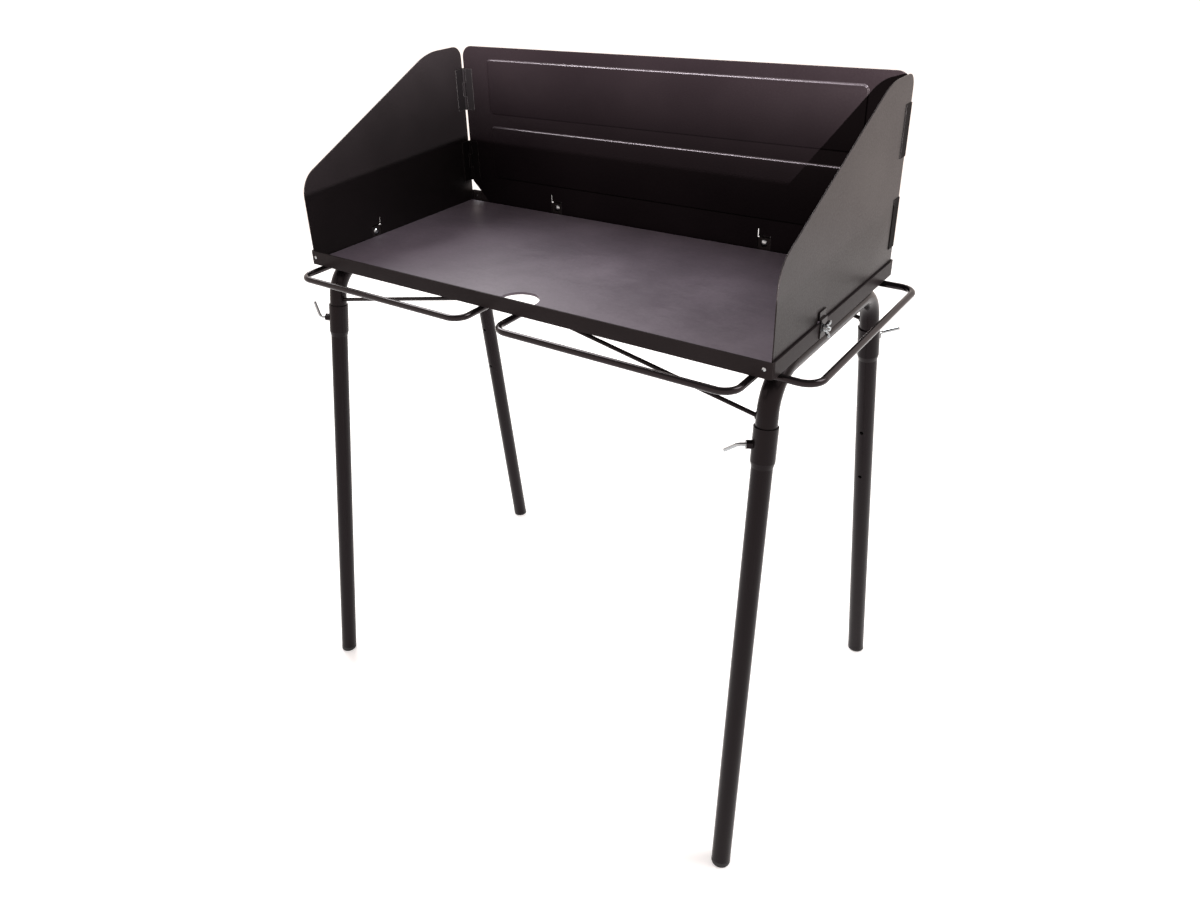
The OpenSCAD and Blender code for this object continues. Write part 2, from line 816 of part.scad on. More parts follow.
module rear_right_leg() {
  lower_leg(REAR_RIGHT);
}

module rear_left_leg() {
  lower_leg(REAR_LEFT);
}

module front_left_leg_nut() {
  leg_nut(FRONT_LEFT);
}

module front_right_leg_nut() {
  leg_nut(FRONT_RIGHT);
}

module rear_right_leg_nut() {
  leg_nut(REAR_RIGHT);
}

module rear_left_leg_nut() {
  leg_nut(REAR_LEFT);
}

module front_left_thumbscrew() {
  thumbscrew(FRONT_LEFT);
}

module front_right_thumbscrew() {
  thumbscrew(FRONT_RIGHT);
}

module rear_right_thumbscrew() {
  thumbscrew(REAR_RIGHT);
}

module rear_left_thumbscrew() {
  thumbscrew(REAR_LEFT);
}

module front_left_foot_cap() {
  foot_cap(FRONT_LEFT);
}

module front_right_foot_cap() {
  foot_cap(FRONT_RIGHT);
}

module rear_right_foot_cap() {
  foot_cap(REAR_RIGHT);
}

module rear_left_foot_cap() {
  foot_cap(REAR_LEFT);
}

// Hanging bars: a rod bent to a flat U, its ends under the rim's flange.
// It is drawn from x = from to x = to, with the rim's outer face at y = 0 and +Y inwards.

module hanging_bar(from, to) {
  inside = flange_w - bar_end_in;
  run = to - from - 2 * bar_bend_r;
  side_l = inside + bar_reach - bar_bend_r;
  color(coat) translate([0, 0, rim_bottom_z - bar_r]) {
    translate([from + bar_bend_r, -bar_reach, 0]) rotate([0, 90, 0]) cylinder(r = bar_r, h = run);
    for (x = [from, to])
      translate([x, bar_bend_r - bar_reach, 0]) rotate([-90, 0, 0]) cylinder(r = bar_r, h = side_l);
    translate([from + bar_bend_r, bar_bend_r - bar_reach, 0]) rotate([0, 0, 180])
      bend(bar_bend_r, bar_r, 90);
    translate([to - bar_bend_r, bar_bend_r - bar_reach, 0]) rotate([0, 0, 270])
      bend(bar_bend_r, bar_r, 90);
  }
}

module front_left_bar() {
  translate([0, -table_d / 2, 0]) hanging_bar(left_bar_from - table_w / 2, -left_bar_to);
}

module front_right_bar() {
  translate([0, -table_d / 2, 0]) hanging_bar(right_bar_from, table_w / 2 - right_bar_to);
}

module side_bar() {
  translate([table_w / 2, 0, 0]) rotate([0, 0, 90])
    hanging_bar(side_bar_from - table_d / 2, table_d / 2 - side_bar_to);
}

front_rail();
rear_rail();
left_rail();
right_rail();
corner_rivets();
cooking_plate();
back_panel();
left_wing();
right_wing();
left_panel_hinge_leaves();
left_wing_hinge_leaves();
left_hinge_pins();
right_panel_hinge_leaves();
right_wing_hinge_leaves();
right_hinge_pins();
panel_clips();
clip_bolts();
rear_left_wing_nut();
rear_right_wing_nut();
left_wing_nut();
right_wing_nut();
left_leg_frame();
right_leg_frame();
brace_rods();
front_left_leg();
front_right_leg();
rear_right_leg();
rear_left_leg();
front_left_leg_nut();
front_right_leg_nut();
rear_right_leg_nut();
rear_left_leg_nut();
front_left_thumbscrew();
front_right_thumbscrew();
rear_right_thumbscrew();
rear_left_thumbscrew();
front_left_foot_cap();
front_right_foot_cap();
rear_right_foot_cap();
rear_left_foot_cap();
front_left_bar();
front_right_bar();
side_bar();
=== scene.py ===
"""Looks of a camp cooking table: finishes for its solids, and the small forms that they leave out, which
are the soft embossing of the back panel, weld beads, threaded bolts, cast wing nuts and rounded foot caps.
Then the stage, the light and the camera. Everything is in metres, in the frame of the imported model."""
import json
import math

import bmesh
import bpy
from mathutils import Matrix, Vector

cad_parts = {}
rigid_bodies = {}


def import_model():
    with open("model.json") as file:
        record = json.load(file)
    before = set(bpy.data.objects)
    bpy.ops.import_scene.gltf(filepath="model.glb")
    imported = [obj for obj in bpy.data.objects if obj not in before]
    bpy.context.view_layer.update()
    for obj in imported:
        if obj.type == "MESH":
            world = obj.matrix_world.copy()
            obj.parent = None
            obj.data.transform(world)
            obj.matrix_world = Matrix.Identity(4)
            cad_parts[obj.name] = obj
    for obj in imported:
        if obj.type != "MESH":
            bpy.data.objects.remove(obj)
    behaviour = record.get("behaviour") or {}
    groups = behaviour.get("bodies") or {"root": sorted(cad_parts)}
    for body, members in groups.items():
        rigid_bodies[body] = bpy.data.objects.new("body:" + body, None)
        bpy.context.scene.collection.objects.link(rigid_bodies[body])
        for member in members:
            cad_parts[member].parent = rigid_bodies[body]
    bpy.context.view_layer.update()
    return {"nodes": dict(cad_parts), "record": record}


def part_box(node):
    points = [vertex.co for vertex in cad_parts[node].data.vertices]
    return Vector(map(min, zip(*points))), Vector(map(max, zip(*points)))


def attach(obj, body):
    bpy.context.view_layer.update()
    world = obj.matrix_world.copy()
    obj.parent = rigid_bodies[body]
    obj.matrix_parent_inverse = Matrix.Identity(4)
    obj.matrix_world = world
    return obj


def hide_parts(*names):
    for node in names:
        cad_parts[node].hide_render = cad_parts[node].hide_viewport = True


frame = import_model()
nodes = frame["nodes"]
joints = {j["name"]: j for j in frame["record"]["behaviour"]["joints"]}

LEGS = ("front_left", "front_right", "rear_right", "rear_left")
RAILS = ("front_rail", "rear_rail", "left_rail", "right_rail")
BARS = ("front_left_bar", "front_right_bar", "side_bar")
UP = Vector((0, 0, 1))
RIM_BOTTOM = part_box("front_rail")[0].z
RIM_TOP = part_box("front_rail")[1].z

# Sizes of the solids that neither the record nor the nodes' boxes give. FIELD_LOW and NOTCH_TOP are heights
# above the rim's top, and a pair is a width or a radius, and a height
RAIL_GAUGE = 0.0025
SHEET = 0.0015
FIELD_SIZE = (0.688, 0.094)
FIELD_LOW = 0.031
FIELD_PITCH = 0.116
FIELD_RISE = 0.0012
FIELD_RADIUS = 0.009
CORNER_CUT = 0.038
CORNER_RADIUS = 0.020
NOTCH_WIDTH = 0.022
NOTCH_TOP = 0.0048
SLIT = (0.0015, 0.010)
TUBE_RADIUS = 0.014
BAR_RADIUS = 0.00475
BRACE_RADIUS = 0.003
BOLT_RADIUS = 0.003
BOLT_HEAD = (0.006, 0.0026)
CAP_SEAM = 0.007


# Materials

# Ranges that the finishes cut from their noise: most of it, its upper patches, and the sum of two
MOST = (0.3, 0.7)
PATCHY = (0.35, 0.7)
SUM_OF_TWO = (0.7, 1.3)
# Range of a mix
FULL = (0.0, 1.0)
# Cosine between the bevelled and the true normal above which a face counts as flat
FLAT = 0.98
BEVEL_SAMPLES = 6


class Shader:
    """A material whose nodes are added one by one, with inputs set by name to a value or to a socket."""

    def __init__(self, name):
        self.material = bpy.data.materials.new(name)
        self.material.use_nodes = True
        self.tree = self.material.node_tree
        self.bsdf = self.tree.nodes["Principled BSDF"]
        self.coords = self.add("TexCoord").outputs["Object"]

    def add(self, kind, inputs=None, **settings):
        """A new node of a kind, with its settings and inputs."""
        node = self.tree.nodes.new("ShaderNode" + kind)
        for key, value in settings.items():
            setattr(node, key, value)
        for key, value in (inputs or {}).items():
            self.put(node.inputs[key], value)
        return node

    def put(self, socket, value):
        """Links a socket to an input, or sets the input to a constant."""
        if isinstance(value, bpy.types.NodeSocket):
            self.tree.links.new(value, socket)
        else:
            socket.default_value = value

    def set(self, **inputs):
        """Sets inputs of the surface, with underscores for the spaces in their names."""
        for key, value in inputs.items():
            self.put(self.bsdf.inputs[key.replace("_", " ")], value)

    def noise(self, scale, detail=2.0, roughness=0.5, stretch=(1, 1, 1)):
        """Noise round 0.5, at a scale of so many features to the metre."""
        coords = self.add("Mapping", {"Vector": self.coords, "Scale": stretch}).outputs["Vector"]
        inputs = {"Vector": coords, "Scale": scale, "Detail": detail, "Roughness": roughness}
        return self.add("TexNoise", inputs).outputs["Fac"]

    def span(self, value, inside, to):
        """Maps one range to another and clamps what lies outside."""
        inputs = {"Value": value, "From Min": inside[0], "From Max": inside[1]}
        inputs.update({"To Min": to[0], "To Max": to[1]})
        return self.add("MapRange", inputs, clamp=True).outputs["Result"]

    def total(self, a, b):
        """The sum of two values."""
        return self.add("Math", {0: a, 1: b}, operation="ADD").outputs[0]

    def scaled(self, value, by):
        """A value times a number or another value."""
        return self.add("Math", {0: value, 1: by}, operation="MULTIPLY").outputs[0]

    def mix(self, factor, a, b):
        """Colour a where the factor is 0, and colour b where it is 1."""
        return self.add("Mix", {0: factor, 6: a, 7: b}, data_type="RGBA").outputs[2]

    def bevel(self, radius):
        """The normal as it would be with rounded edges."""
        return self.add("Bevel", {"Radius": radius}, samples=BEVEL_SAMPLES).outputs["Normal"]

    def edges(self, radius, sharp):
        """1 on edges as sharp as a cosine and 0 on the faces, broken up a little."""
        normal = self.add("NewGeometry").outputs["Normal"]
        inputs = {0: self.bevel(radius), 1: normal}
        cosine = self.add("VectorMath", inputs, operation="DOT_PRODUCT").outputs["Value"]
        mask = self.span(cosine, inside=(sharp, FLAT), to=(1.0, 0.0))
        scuffs = self.span(self.noise(scale=90, detail=3), inside=(0.35, 0.65), to=(0.3, 1.0))
        return self.scaled(mask, by=scuffs)

    def relief(self, height, strength, depth, normal):
        """The normal over a rough surface."""
        inputs = {"Strength": strength, "Distance": depth, "Height": height, "Normal": normal}
        return self.add("Bump", inputs).outputs["Normal"]


def rgb(red, green, blue):
    """An opaque colour."""
    return (red, green, blue, 1.0)


def powder_coat(name, tones, edge, gloss, grain, ior, tint):
    """Powder coat: fine orange peel, soft patches of tone and gloss, and thinner, lighter edges."""
    look = Shader(name)
    patches = look.noise(scale=6, detail=3)
    wear = look.edges(radius=0.0012, sharp=0.72)
    colour = look.mix(look.span(patches, inside=PATCHY, to=FULL), *tones)
    look.set(Base_Color=look.mix(wear, colour, edge), IOR=ior, Specular_Tint=tint)
    mottle = look.total(patches, look.noise(scale=360))
    look.set(Roughness=look.span(mottle, inside=SUM_OF_TWO, to=gloss))
    waves = look.scaled(look.noise(scale=420, detail=1), by=1.5)
    peel = look.total(waves, look.noise(scale=1700))
    look.set(Normal=look.relief(peel, strength=grain, depth=0.0003, normal=look.bevel(radius=0.0006)))
    return look.material


def plate_finish():
    """Satin heat-proof coat on sheet steel: rolled grain and a cloudy sheen."""
    look = Shader("plate_steel")
    cloud = look.noise(scale=5.5, detail=4, roughness=0.6)
    rolled = look.noise(scale=60, detail=3, roughness=0.6, stretch=(0.5, 1, 1))
    flecks = look.scaled(look.noise(scale=150, detail=3, roughness=0.7), by=0.4)
    mottle = look.span(look.total(cloud, flecks), inside=(0.56, 0.86), to=FULL)
    tone = look.mix(mottle, rgb(0.096, 0.078, 0.098), rgb(0.134, 0.109, 0.136))
    wear = look.edges(radius=0.001, sharp=0.72)
    look.set(Base_Color=look.mix(wear, tone, rgb(0.3, 0.28, 0.32)), IOR=1.45)
    look.set(Roughness=look.span(look.total(cloud, rolled), inside=SUM_OF_TWO, to=(0.40, 0.54)))
    height = look.total(look.scaled(rolled, by=0.5), look.noise(scale=900))
    look.set(Normal=look.relief(height, strength=0.10, depth=0.0004, normal=look.bevel(radius=0.0007)))
    return look.material


def zinc_finish():
    """Bright zinc plating with a fine spangle of lighter and darker, smoother and rougher spots."""
    look = Shader("zinc")
    spangle = look.noise(scale=420, detail=3, roughness=0.6)
    spots = look.span(spangle, inside=MOST, to=FULL)
    look.set(Metallic=1.0, Base_Color=look.mix(spots, rgb(0.31, 0.332, 0.343), rgb(0.48, 0.512, 0.53)))
    look.set(Roughness=look.span(spangle, inside=MOST, to=(0.11, 0.20)))
    pits = look.noise(scale=1800)
    look.set(Normal=look.relief(pits, strength=0.06, depth=0.0003, normal=look.bevel(radius=0.0004)))
    return look.material


def cap_finish():
    """Moulded black plastic with a fine spark-eroded grain, scuffed at the rim."""
    look = Shader("cap_plastic")
    grain = look.noise(scale=1400, detail=3, roughness=0.6)
    wear = look.edges(radius=0.0012, sharp=0.75)
    look.set(Base_Color=look.mix(wear, rgb(0.006, 0.006, 0.007), rgb(0.03, 0.03, 0.03)), IOR=1.45)
    look.set(Roughness=look.span(grain, inside=MOST, to=(0.5, 0.7)))
    look.set(Normal=look.relief(grain, strength=0.15, depth=0.0004, normal=look.bevel(radius=0.0006)))
    return look.material


TUBE_TONES = (rgb(0.0040, 0.0034, 0.0036), rgb(0.0052, 0.0044, 0.0047))
WING_TONES = (rgb(0.0042, 0.0034, 0.0036), rgb(0.0058, 0.0046, 0.0050))
# Painted shade: tones darker than the wings', used only by the back panel's two copies of the coat
BACK_SHADE_TONES = (rgb(0.0025, 0.00165, 0.0020), rgb(0.0033, 0.0022, 0.0026))
RAIL_TONES = (rgb(0.017, 0.0142, 0.0150), rgb(0.022, 0.0184, 0.0194))
TUBE_EDGE = rgb(0.02, 0.018, 0.018)
SHEET_EDGE = rgb(0.04, 0.036, 0.036)
HINGE_EDGE = rgb(0.05, 0.045, 0.045)
# Each powder coat's tones, edge, roughness from and to, grain, index of refraction and tint of its sheen
COATS = {
    "black_coat": (TUBE_TONES, TUBE_EDGE, (0.20, 0.26), 0.05, 1.24, rgb(1.0, 0.85, 0.91)),
    "panel_coat": (WING_TONES, SHEET_EDGE, (0.30, 0.42), 0.18, 1.3, rgb(1.0, 0.86, 0.88)),
    # Painted shade: a darker copy of the panel coat with a weaker sheen, on the back panel only
    "back_shade_coat": (BACK_SHADE_TONES, SHEET_EDGE, (0.30, 0.42), 0.18, 1.13, rgb(1.0, 0.86, 0.88)),
    # Painted highlight: a copy of the back panel's coat with a stronger sheen, on the upper bands of its
    # fields
    "band_highlight_coat": (BACK_SHADE_TONES, SHEET_EDGE, (0.30, 0.42), 0.18, 1.45, rgb(1.0, 0.88, 0.97)),
    "rail_coat": (RAIL_TONES, SHEET_EDGE, (0.32, 0.40), 0.06, 1.12, rgb(1.0, 0.86, 0.90)),
    "bar_coat": (TUBE_TONES, TUBE_EDGE, (0.12, 0.17), 0.04, 1.36, rgb(1.0, 0.85, 0.91)),
    "hinge_coat": (TUBE_TONES, HINGE_EDGE, (0.40, 0.50), 0.06, 1.06, rgb(1.0, 0.86, 0.90)),
}
FINISHES = {name: powder_coat(name, *look) for name, look in COATS.items()}
FINISHES["plate_steel"] = plate_finish()
FINISHES["zinc"] = zinc_finish()
FINISHES["cap_plastic"] = cap_finish()


def finish_of(part):
    """The finish of a CAD node: its slot's, but the rails, bars and hinges have coats of their own."""
    if part["node"] in RAILS:
        return FINISHES["rail_coat"]
    if part["node"] in BARS:
        return FINISHES["bar_coat"]
    if part["node"].endswith("hinge_leaves"):
        return FINISHES["hinge_coat"]
    return FINISHES[part["material_slot"]]


def dress_nodes():
    """Gives every CAD node its finish."""
    for part in frame["record"]["subparts"]:
        piece = nodes[part["node"]]
        piece.data.materials.clear()
        piece.data.materials.append(finish_of(part))


# Mesh helpers

# Angle in degrees from which an edge stays sharp in smooth shading
CREASE = 38
# Upward part of a unit vector from which it counts as upright
UPRIGHT = 0.9


def mesh_of(name, verts, faces):
    """A mesh from vertices and faces."""
    mesh = bpy.data.meshes.new(name)
    mesh.from_pydata([tuple(v) for v in verts], [], faces)
    return mesh


def placed_object(name, data):
    """A new object of the scene."""
    made = bpy.data.objects.new(name, data)
    bpy.context.scene.collection.objects.link(made)
    return made


def add_piece(name, mesh, slot, body, replaces=(), finishes=()):
    """A new piece on a body of the frame, shaded smooth up to its creases. Its finish is its slot's, unless
    finishes are named, which its faces' material indices then choose from."""
    for finish in finishes or (slot,):
        mesh.materials.append(FINISHES[finish])
    mesh.shade_smooth()
    mesh.set_sharp_from_angle(angle=math.radians(CREASE))
    piece = placed_object(name, mesh)
    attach(piece, body)
    if replaces:
        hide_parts(*replaces)


def join(shapes):
    """One list of vertices and one of faces from several."""
    verts, faces = [], []
    for more_verts, more_faces in shapes:
        start = len(verts)
        verts.extend(more_verts)
        faces.extend(tuple(start + i for i in f) for f in more_faces)
    return verts, faces


def skinned(rings, closed=False):
    """Faces over rings of equal count. An open skin gets an end face at both ends."""
    count = len(rings[0])
    verts = [v for ring in rings for v in ring]
    faces = []
    for i in range(len(rings) if closed else len(rings) - 1):
        a, b = i * count, (i + 1) % len(rings) * count
        for k in range(count):
            n = (k + 1) % count
            faces.append((a + k, a + n, b + n, b + k))
    if not closed:
        faces.append(tuple(reversed(range(count))))
        faces.append(tuple(range(len(verts) - count, len(verts))))
    return verts, faces


def turns(sides):
    """The angles of points spread evenly round a circle."""
    return [2 * math.pi * k / sides for k in range(sides)]


def level_circle(radius, z, sides):
    """Points on a circle round the Z axis."""
    return [Vector((radius * math.cos(a), radius * math.sin(a), z)) for a in turns(sides)]


def circle(centre, u, v, radius, sides):
    """Points on a circle in the plane of two unit vectors."""
    return [centre + radius * (math.cos(a) * u + math.sin(a) * v) for a in turns(sides)]


def square_to(direction):
    """Two unit vectors square to a direction and to each other, which turn right-handed about it."""
    side = UP if abs(direction.z) < UPRIGHT else Vector((1, 0, 0))
    u = side.cross(direction).normalized()
    return u, direction.cross(u).normalized()


def swept(path, radii, sides, closed=False):
    """A round skin along a path, with a radius at each point."""
    rings = []
    for i, point in enumerate(path):
        ahead = path[(i + 1) % len(path)] if closed or i + 1 < len(path) else point
        behind = path[i - 1] if closed or i > 0 else point
        u, v = square_to((ahead - behind).normalized())
        rings.append(circle(point, u, v, radii[i], sides))
    return skinned(rings, closed)


# Weld beads

# Length of a ripple, points along it and its depth as a share of the bead's radius
RIPPLE = 0.0022
RIPPLE_POINTS = 5
RIPPLE_DEPTH = 0.13
# Sides of a bead, the least square of its taper, and how bluntly its ends round off
BEAD_SIDES = 10
BEAD_TIP = 0.02
BEAD_BLUNT = 6
# A bead round a brace: its ripples and their depth, its points and its sides
RING_RIPPLES = 9
RING_DEPTH = 0.12
RING_POINTS = 36
RING_SIDES = 8
# Radius of each kind of bead
BAR_BEAD = 0.0015
BRACE_BEAD = 0.0014
RING_BEAD = 0.0016
FRAME_BEAD = 0.0016
# How far a bead lies under the flange, beside a rod as a share of its radius, and outside a brace
WELD_DROP = 0.0012
WELD_OUT = 0.8
RING_OUT = 0.0006
# Seams: of a bar, from and to behind the rim's face; of a brace, its length; and of a leg frame, half the
# length of a stitch, its distance beside the frame's axis and the stitches' places from front to rear
BAR_SEAM = (0.003, 0.017)
BRACE_SEAM = 0.022
STITCH_HALF = 0.022
STITCH_OUT = 0.0058
STITCHES = (-0.085, 0.0, 0.085)
# How much of a brace, from its outer and its inner end, tells where that end is
BRACE_FOOT = 0.03
BRACE_TIP = 4 * BRACE_RADIUS


def bead(start, end, radius):
    """A rippled weld bead along a straight seam, with rounded ends."""
    length = (end - start).length
    steps = round(length / RIPPLE * RIPPLE_POINTS)
    path, radii = [], []
    for i in range(steps + 1):
        t = i / steps
        ripple = 1 + RIPPLE_DEPTH * math.cos(2 * math.pi * t * length / RIPPLE)
        taper = math.sqrt(max(BEAD_TIP, 1 - abs(2 * t - 1) ** BEAD_BLUNT))
        path.append(start.lerp(end, t))
        radii.append(radius * ripple * taper)
    return swept(path, radii, BEAD_SIDES)


def ring_bead(path, radius):
    """A rippled weld bead along a closed seam."""
    ripples = [math.cos(RING_RIPPLES * a) for a in turns(len(path))]
    return swept(path, [radius * (1 + RING_DEPTH * r) for r in ripples], RING_SIDES, closed=True)


def seam_point(bar, place, depth):
    """A point under the flange beside an end of a bar, at a depth behind the rim's face."""
    if bar == "side_bar":
        return Vector((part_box("right_rail")[1].x - depth, place, RIM_BOTTOM - WELD_DROP))
    return Vector((place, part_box("front_rail")[0].y + depth, RIM_BOTTOM - WELD_DROP))


def bar_welds():
    """Beads on both sides of each end of a hanging bar, in the corner between the bar and the flange."""
    shapes = []
    for name in BARS:
        low, high = (c.y if name == "side_bar" else c.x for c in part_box(name))
        for axis in (low + BAR_RADIUS, high - BAR_RADIUS):
            for side in (-1, 1):
                place = axis + side * WELD_OUT * BAR_RADIUS
                start, end = (seam_point(name, place, depth) for depth in BAR_SEAM)
                shapes.append(bead(start, end, BAR_BEAD))
    add_piece("bar_welds", mesh_of("bar_welds", *join(shapes)), "black_coat", "frame")


def leg_axis(leg):
    """A point on a leg's axis and the direction down it."""
    point = Vector(joints[leg + "_thumbscrew_turn"]["pos_m"])
    down = Vector(joints[leg + "_leg_pull"]["axis"])
    return point, down.normalized()


def mean(points):
    """The mean of some points."""
    return sum(points, Vector()) / len(points)


def brace_line(leg):
    """Two points on the axis of the brace rod beside a leg: near the leg, and under the flange."""
    side = -1 if "left" in leg else 1
    end = -1 if "front" in leg else 1
    rod = [v.co for v in nodes["brace_rods"].data.vertices if v.co.x * side > 0 and v.co.y * end > 0]
    inner = min(abs(c.x) for c in rod)
    outer = max(abs(c.x) for c in rod)
    foot = mean([c for c in rod if abs(c.x) > outer - BRACE_FOOT])
    top = mean([c for c in rod if abs(c.x) - inner < BRACE_TIP])
    return foot, top


def onto_tube(start, along, point, down):
    """Where a line through start, along a direction, leaves the tube round a leg's axis."""
    across = start - point
    across -= across.dot(down) * down
    slope = along - along.dot(down) * down
    a = slope.length_squared
    b = 2 * across.dot(slope)
    c = across.length_squared - TUBE_RADIUS ** 2
    return start + along * (-b + math.sqrt(max(0.0, b * b - 4 * a * c))) / (2 * a)


def brace_welds():
    """A ring of weld where each brace meets its leg, and beads where it meets the flange."""
    shapes = []
    for leg in LEGS:
        foot, top = brace_line(leg)
        along = (top - foot).normalized()
        starts = circle(foot, *square_to(along), BRACE_RADIUS + RING_OUT, RING_POINTS)
        shapes.append(ring_bead([onto_tube(p, along, *leg_axis(leg)) for p in starts], RING_BEAD))
        side = along.cross(UP).normalized()
        level = Vector((along.x, along.y, 0)).normalized()
        for sign in (-1, 1):
            end = Vector((top.x, top.y, RIM_BOTTOM - WELD_DROP)) + sign * WELD_OUT * BRACE_RADIUS * side
            shapes.append(bead(end - BRACE_SEAM * level, end, BRACE_BEAD))
    add_piece("brace_welds", mesh_of("brace_welds", *join(shapes)), "black_coat", "frame")


def frame_welds():
    """Stitches of weld on both sides of each leg frame's top, against the flange above it."""
    point, down = leg_axis("front_right")
    axis = point.x + down.x / down.z * (RIM_BOTTOM - TUBE_RADIUS - point.z)
    half = Vector((0, STITCH_HALF, 0))
    shapes = []
    for frame_x in (-axis, axis):
        for y in STITCHES:
            for sign in (-1, 1):
                middle = Vector((frame_x + sign * STITCH_OUT, y, RIM_BOTTOM - WELD_DROP))
                shapes.append(bead(middle - half, middle + half, FRAME_BEAD))
    add_piece("frame_welds", mesh_of("frame_welds", *join(shapes)), "black_coat", "frame")


# Back panel

# Width of the band over which a field rises, steps across it, and the share of it that rounds each end
FIELD_BAND = 0.0021
BAND_STEPS = 8
BAND_EASE = 0.25
# Flat margin outside the band
FIELD_MARGIN = 0.001
# Steps along the arc of a corner
FIELD_ARC = 10
PANEL_ARC = 8


def corner_points(corners, steps):
    """An outline [x, z] whose corners (x, z, radius) are rounded by arcs."""
    points = []
    for i, (x, z, radius) in enumerate(corners):
        c = Vector((x, z))
        if radius <= 0:
            points.append(c)
            continue
        u = (Vector(corners[i - 1][:2]) - c).normalized()
        v = (Vector(corners[(i + 1) % len(corners)][:2]) - c).normalized()
        half = math.acos(max(-1, min(1, u.dot(v)))) / 2
        middle = c + (u + v).normalized() * radius / math.sin(half)
        p = c + u * radius / math.tan(half) - middle
        q = c + v * radius / math.tan(half) - middle
        start = math.atan2(p.y, p.x)
        sweep = math.remainder(math.atan2(q.y, q.x) - start, 2 * math.pi)
        for k in range(steps + 1):
            a = start + sweep * k / steps
            points.append(middle + radius * Vector((math.cos(a), math.sin(a))))
    return points


def notch_points(x, bottom):
    """The corners of a clip's notch from left to right, with the relief slit at its upper left."""
    left, right = x - NOTCH_WIDTH / 2, x + NOTCH_WIDTH / 2
    top = RIM_TOP + NOTCH_TOP
    slit_right, slit_top = left + SLIT[0], top + SLIT[1]
    return [
        (left, bottom, 0), (left, slit_top, 0), (slit_right, slit_top, 0),
        (slit_right, top, 0), (right, top, 0), (right, bottom, 0)]


def panel_outline():
    """The sheet's outline: cut lower corners, rounded upper ones, and a notch for each rear clip."""
    low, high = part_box("back_panel")
    clip_x = joints["rear_right_wing_nut_turn"]["pos_m"][0]
    corners = [
        (low.x + CORNER_CUT, low.z, 0), *notch_points(-clip_x, low.z), *notch_points(clip_x, low.z),
        (high.x - CORNER_CUT, low.z, 0), (high.x, low.z + CORNER_CUT, 0),
        (high.x, high.z, CORNER_RADIUS), (low.x, high.z, CORNER_RADIUS),
        (low.x, low.z + CORNER_CUT, 0)]
    return corner_points(corners, PANEL_ARC)


def field_outline(low_z, inset):
    """A field's outline, drawn in by an inset, or let out by a negative one."""
    half, high_z = FIELD_SIZE[0] / 2 - inset, low_z + FIELD_SIZE[1] - inset
    radius = FIELD_RADIUS - inset
    return corner_points([
        (-half, low_z + inset, radius), (half, low_z + inset, radius),
        (half, high_z, radius), (-half, high_z, radius)], FIELD_ARC)


def eased(t):
    """Height from 0 to 1 across a band: a straight slope with rounded ends."""
    slope = 1 / (1 - BAND_EASE)
    if t < BAND_EASE:
        return slope * t * t / (2 * BAND_EASE)
    if t > 1 - BAND_EASE:
        return 1 - slope * (1 - t) ** 2 / (2 * BAND_EASE)
    return slope * (t - BAND_EASE / 2)


def edge_loop(mesh, points, y):
    """A closed loop of vertices and one of edges, from an outline [x, z]."""
    verts = [mesh.verts.new((p.x, y, p.y)) for p in points]
    return verts, [mesh.edges.new((verts[i - 1], verts[i])) for i in range(len(verts))]


def raised_field(mesh, low_z, face_y):
    """An embossed field. The level part of its band along its upper edge takes the second finish, a
    glossier copy of the coat that paints a highlight along it. Returns the edges of the hole that it fills
    in the sheet."""
    ring, hole = edge_loop(mesh, field_outline(low_z, -FIELD_MARGIN), face_y)
    for k in range(BAND_STEPS + 1):
        t = k / BAND_STEPS
        inner, _ = edge_loop(mesh, field_outline(low_z, FIELD_BAND * t), face_y - FIELD_RISE * eased(t))
        for i in range(len(ring)):
            face = mesh.faces.new((ring[i - 1], ring[i], inner[i], inner[i - 1]))
            run = ring[i].co - ring[i - 1].co
            upper = ring[i].co.z > low_z + FIELD_SIZE[1] / 2
            face.material_index = int(upper and abs(run.x) > abs(run.z))
        ring = inner
    mesh.faces.new(ring)
    return hole


def back_panel():
    """The embossed sheet, with fields that rise over a soft band instead of a step."""
    mesh = bmesh.new()
    face_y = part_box("back_panel")[1].y - SHEET
    _, sheet_edges = edge_loop(mesh, panel_outline(), face_y)
    for low_z in (RIM_TOP + FIELD_LOW, RIM_TOP + FIELD_LOW + FIELD_PITCH):
        sheet_edges += raised_field(mesh, low_z, face_y)
    bmesh.ops.triangle_fill(mesh, use_beauty=True, use_dissolve=False, edges=sheet_edges)
    bmesh.ops.recalc_face_normals(mesh, faces=mesh.faces)
    if sum(f.normal.y * f.calc_area() for f in mesh.faces) > 0:
        bmesh.ops.reverse_faces(mesh, faces=mesh.faces)
    bmesh.ops.solidify(mesh, geom=list(mesh.faces), thickness=SHEET)
    data = bpy.data.meshes.new("back_panel_sheet")
    mesh.to_mesh(data)
    mesh.free()
    # The sheet's coat paints shade, and the coat of its fields' upper bands paints a highlight
    coats = ("back_shade_coat", "band_highlight_coat")
    add_piece("embossed_back_panel", data, "panel_coat", "windscreen", ("back_panel",), coats)


# Fasteners

NUTS = ("rear_left", "rear_right", "left", "right")
# Bolts: sides, rings over the head and the radius at its crown, and the length of the plain shank
BOLT_SIDES = 40
HEAD_RINGS = 8
HEAD_CROWN = 0.0002
BOLT_PLAIN = 0.004
# Threads: pitch, depth, rings to a pitch, and the rings over which the tip narrows to a share of its radius
THREAD_PITCH = 0.001
THREAD_DEPTH = 0.0004
THREAD_RINGS = 6
TIP_RINGS = 4
TIP_SHARE = 0.925
# Wing nuts, drawn along +Z: radius and height of the boss, and the share of its radius left at the top
NUT_BOSS = (0.005, 0.0055)
NUT_TAPER = 0.86
